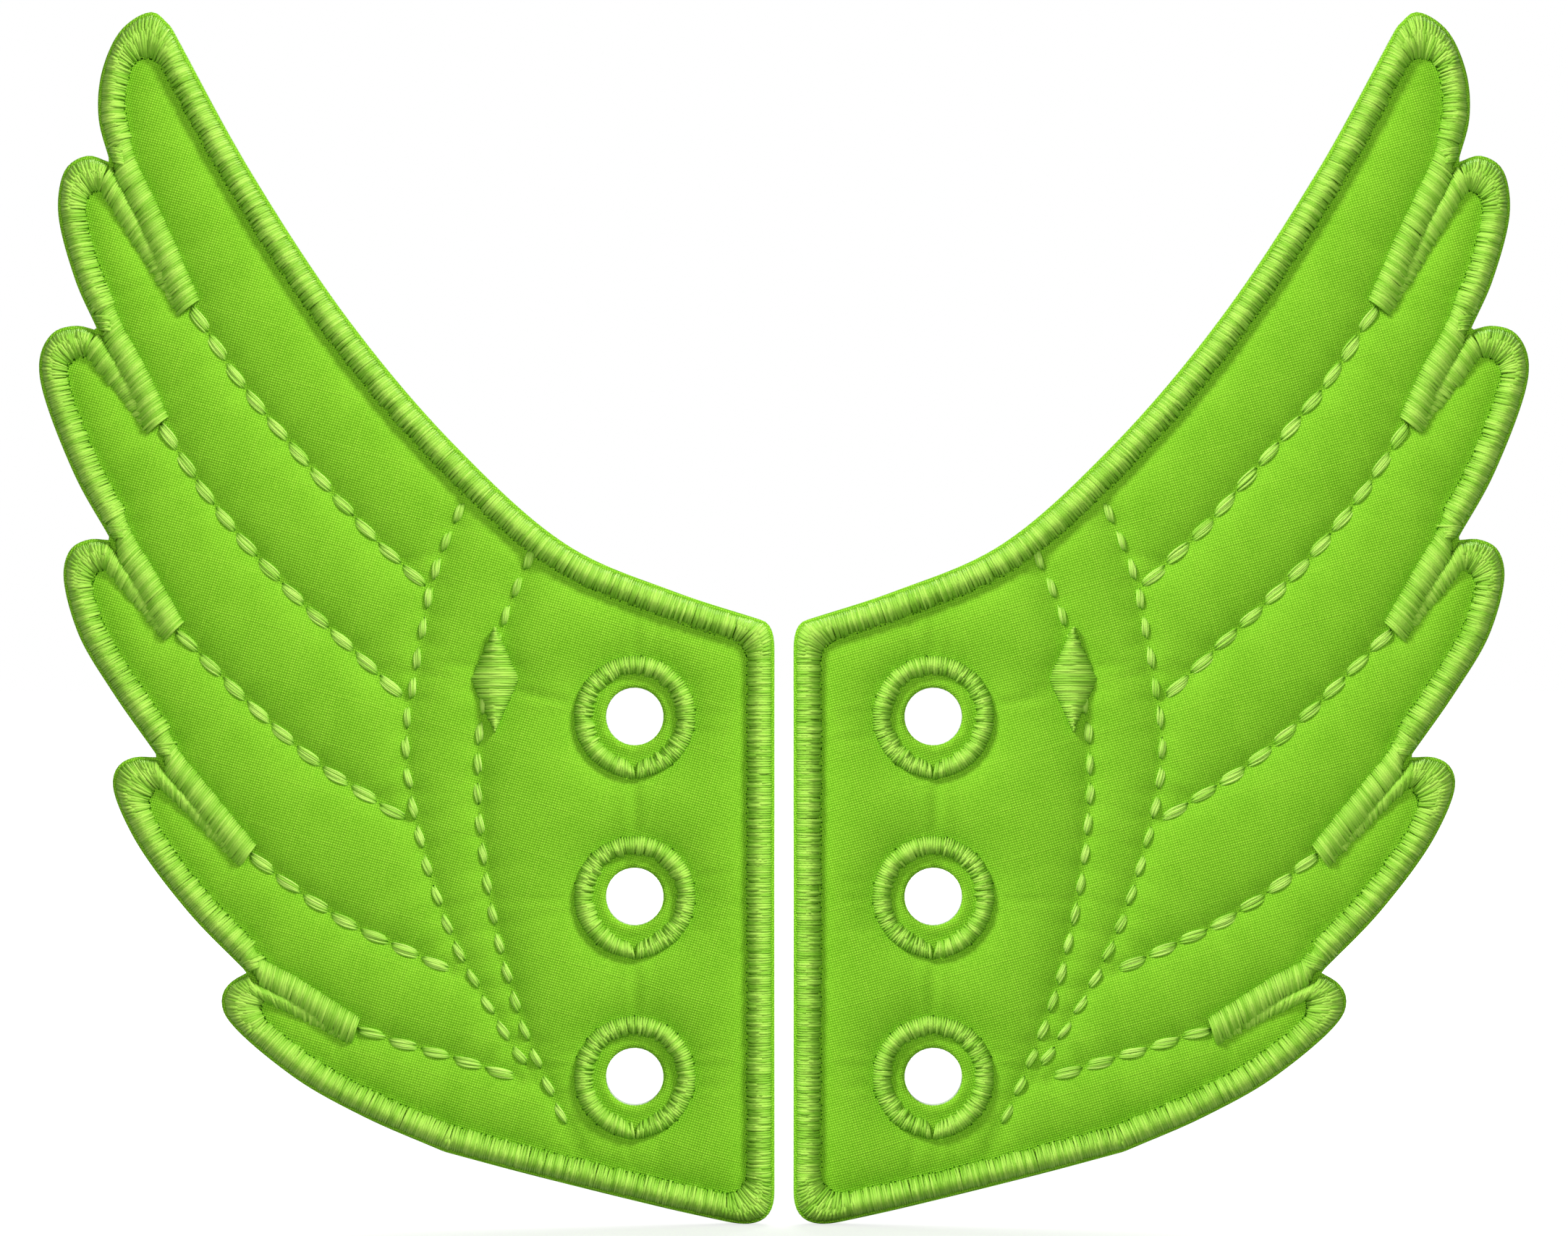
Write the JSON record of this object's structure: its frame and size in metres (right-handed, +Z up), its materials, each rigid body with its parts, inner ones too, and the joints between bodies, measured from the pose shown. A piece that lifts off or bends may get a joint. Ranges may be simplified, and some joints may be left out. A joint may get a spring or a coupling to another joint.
{
  "type": "lace-on shoe wings",
  "caption": "Mirror-image padded fabric wings with satin-stitched edges, quilted feathers and a lace panel with punched lace holes.",
  "frame": {"origin": "midway between the two wings, at the lowest point of their bottom corners, in the middle of the padding", "axes": "+X across the pair towards the right-hand wing, +Z up the lace panels, -Y out of the decorated front face"},
  "size_m": [0.1578, 0.0036, 0.1283],
  "materials": {
    "cover_cloth": "satin",
    "satin_thread": "satin",
    "pale_foam": "matte"
  },
  "bodies": {
    "left_flap": {"left_back_cover_flap": "cover_cloth", "left_back_stitching": "satin_thread", "left_edging_flap": "satin_thread", "left_feather_divider_1": "satin_thread", "left_feather_divider_2": "satin_thread", "left_feather_divider_3": "satin_thread", "left_feather_divider_4": "satin_thread", "left_feather_divider_5": "satin_thread", "left_feather_line_1": "satin_thread", "left_feather_line_2": "satin_thread", "left_feather_line_3": "satin_thread", "left_feather_line_4": "satin_thread", "left_feather_line_5": "satin_thread", "left_foam_core_flap": "pale_foam", "left_front_cover_flap": "cover_cloth", "left_inner_quilt_line_flap": "satin_thread", "left_outer_quilt_line": "satin_thread", "left_stitched_motif": "satin_thread"},
    "left_panel": {"left_back_cover_panel": "cover_cloth", "left_edging_panel": "satin_thread", "left_eyelet_back_ring_bottom": "satin_thread", "left_eyelet_back_ring_middle": "satin_thread", "left_eyelet_back_ring_top": "satin_thread", "left_eyelet_ring_bottom": "satin_thread", "left_eyelet_ring_middle": "satin_thread", "left_eyelet_ring_top": "satin_thread", "left_foam_core_panel": "pale_foam", "left_front_cover_panel": "cover_cloth", "left_inner_quilt_line_panel": "satin_thread"},
    "right_flap": {"right_back_cover_flap": "cover_cloth", "right_back_stitching": "satin_thread", "right_edging_flap": "satin_thread", "right_feather_divider_1": "satin_thread", "right_feather_divider_2": "satin_thread", "right_feather_divider_3": "satin_thread", "right_feather_divider_4": "satin_thread", "right_feather_divider_5": "satin_thread", "right_feather_line_1": "satin_thread", "right_feather_line_2": "satin_thread", "right_feather_line_3": "satin_thread", "right_feather_line_4": "satin_thread", "right_feather_line_5": "satin_thread", "right_foam_core_flap": "pale_foam", "right_front_cover_flap": "cover_cloth", "right_inner_quilt_line_flap": "satin_thread", "right_outer_quilt_line": "satin_thread", "right_stitched_motif": "satin_thread"},
    "right_panel": {"right_back_cover_panel": "cover_cloth", "right_edging_panel": "satin_thread", "right_eyelet_back_ring_bottom": "satin_thread", "right_eyelet_back_ring_middle": "satin_thread", "right_eyelet_back_ring_top": "satin_thread", "right_eyelet_ring_bottom": "satin_thread", "right_eyelet_ring_middle": "satin_thread", "right_eyelet_ring_top": "satin_thread", "right_foam_core_panel": "pale_foam", "right_front_cover_panel": "cover_cloth", "right_inner_quilt_line_panel": "satin_thread"}
  },
  "joints": [
    {"name": "left_fold", "type": "hinge", "parent": "left_panel", "child": "left_flap", "pos_m": [-0.0246, 0, 0.036], "axis": [0, 0, 1], "range_deg": [-45, 45], "stiffness_Nm_per_rad": 0.01},
    {"name": "pair_gap", "type": "slide", "parent": "left_panel", "child": "right_panel", "axis": [1, 0, 0], "range_m": [0, 0.02]},
    {"name": "right_fold", "type": "hinge", "parent": "right_panel", "child": "right_flap", "pos_m": [0.0246, 0, 0.036], "axis": [0, 0, -1], "range_deg": [-45, 45], "stiffness_Nm_per_rad": 0.01}
  ]
}
